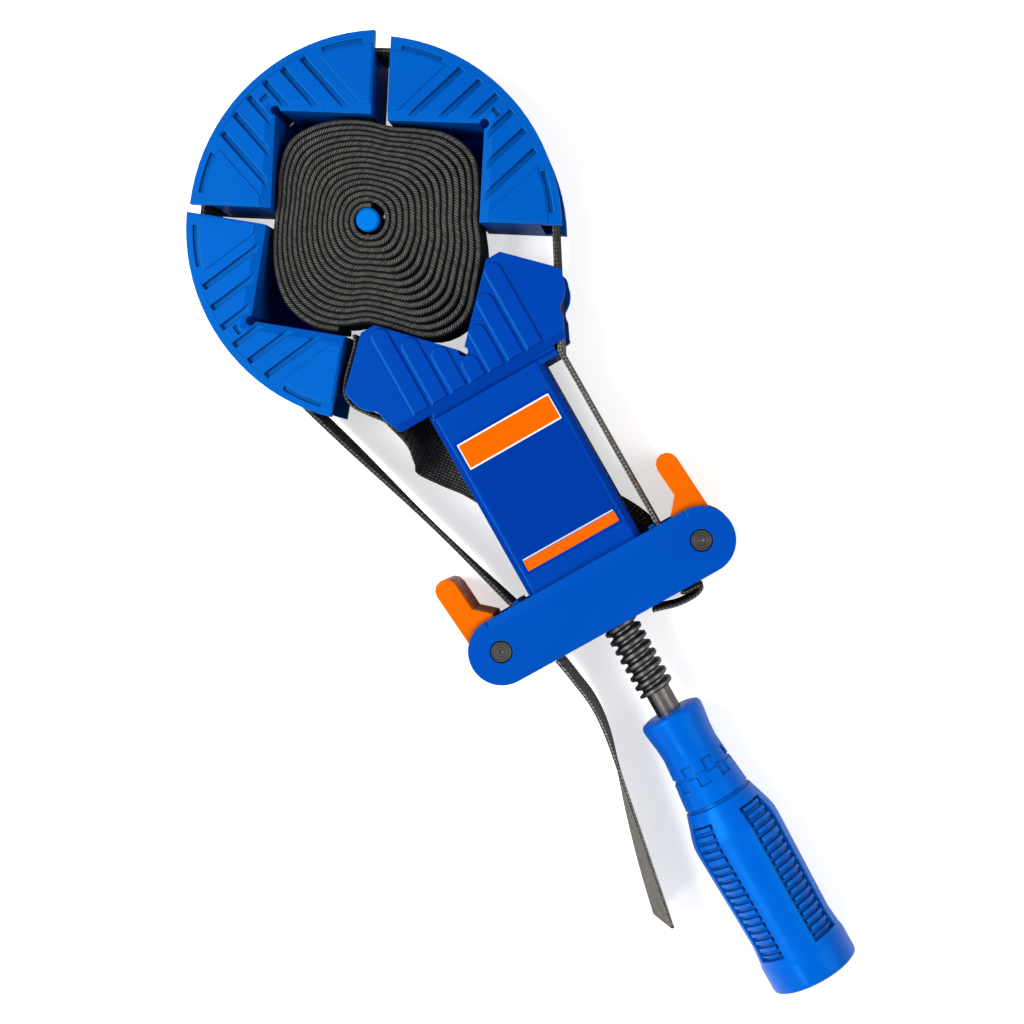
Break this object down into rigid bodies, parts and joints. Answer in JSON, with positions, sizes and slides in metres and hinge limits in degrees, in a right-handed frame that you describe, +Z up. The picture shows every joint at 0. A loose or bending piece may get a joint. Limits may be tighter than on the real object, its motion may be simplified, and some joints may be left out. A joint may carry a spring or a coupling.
{
  "type": "band clamp",
  "caption": "Blue band clamp: webbing loop round four vee corner jaws, pulled by a screw-driven crossbar with two orange cam levers, spare strap coiled inside.",
  "frame": {"origin": "on the underside of the fixed jaw, on the stem's centre line between its vee and its lower edge", "axes": "+Y from the handle along the stem to the jaws, +Z up through the jaws' height, +X to the right with the flutes facing up"},
  "size_m": [0.1402, 0.3919, 0.0345],
  "materials": {
    "jaw_blue": "satin moulded",
    "frame_blue": "satin moulded",
    "cover_blue": "satin moulded",
    "handle_blue": "satin moulded",
    "lever_orange": "satin moulded",
    "webbing": "woven",
    "dark_steel": "turned, dark",
    "bright_steel": "zinc plated"
  },
  "bodies": {
    "root": {"fixed_jaw": "frame_blue", "stem_back_cover": "cover_blue", "stem_screw_1": "bright_steel", "stem_screw_2": "bright_steel", "stem_screw_3": "bright_steel", "stem_screw_4": "bright_steel", "thrust_pad": "bright_steel", "strap_coil": "webbing", "strap_spindle": "jaw_blue", "strap_loop": "webbing", "strap_left_run": "webbing", "strap_right_run": "webbing", "strap_return": "webbing"},
    "screw_and_handle": {"lead_screw": "dark_steel", "screw_retaining_ring": "dark_steel", "handle_grip": "handle_blue", "handle_cross_pin": "bright_steel"},
    "crossbar": {"crossbar_front": "frame_blue", "crossbar_back": "cover_blue", "crossbar_screw_1": "bright_steel", "crossbar_screw_2": "bright_steel", "screw_nut": "bright_steel", "lever_pin_left": "dark_steel", "pin_clip_left": "dark_steel", "lever_spring_left": "bright_steel", "lever_pin_right": "dark_steel", "pin_clip_right": "dark_steel", "lever_spring_right": "bright_steel", "strap_tail": "webbing", "strap_fold": "webbing"},
    "left_lever": {"cam_lever_left": "lever_orange"},
    "right_lever": {"cam_lever_right": "lever_orange"},
    "corner_top_left": {"jaw_top_left": "jaw_blue"},
    "corner_top_right": {"jaw_top_right": "jaw_blue"},
    "corner_bottom_left": {"jaw_bottom_left": "jaw_blue"}
  },
  "joints": [
    {"name": "handle_turn", "type": "hinge", "parent": "root", "child": "screw_and_handle", "pos_m": [0, -0.08, 0.0174], "axis": [0, 1, 0], "range_deg": [0, 2521]},
    {"name": "crossbar_slide", "type": "slide", "parent": "root", "child": "crossbar", "axis": [0, -1, 0], "range_m": [0, 0.028], "deforming": ["strap_left_run", "strap_right_run", "strap_return"]},
    {"name": "left_lever_press", "type": "hinge", "parent": "crossbar", "child": "left_lever", "pos_m": [-0.042, -0.0961, 0.0174], "axis": [0, 0, -1], "range_deg": [0, 13], "stiffness_Nm_per_rad": 0.06},
    {"name": "right_lever_press", "type": "hinge", "parent": "crossbar", "child": "right_lever", "pos_m": [0.042, -0.0961, 0.0174], "axis": [0, 0, 1], "range_deg": [0, 13], "stiffness_Nm_per_rad": 0.06},
    {"name": "top_left_corner_turn", "type": "hinge", "parent": "root", "child": "corner_top_left", "pos_m": [-0.0044, 0.0629, 0.016], "axis": [0, 0, 1], "range_deg": [-1.4, 0.4]},
    {"name": "top_right_corner_turn", "type": "hinge", "parent": "root", "child": "corner_top_right", "pos_m": [-0.0091, 0.0633, 0.016], "axis": [0, 0, 1], "range_deg": [-2.5, 1]},
    {"name": "bottom_left_corner_turn", "type": "hinge", "parent": "root", "child": "corner_bottom_left", "pos_m": [-0.0055, 0.0629, 0.016], "axis": [0, 0, 1], "range_deg": [-0.4, 1.2]}
  ],
  "couplings": [
    {"joint": "handle_turn", "follows": "crossbar_slide", "rad_per_m": 1570.8}
  ]
}
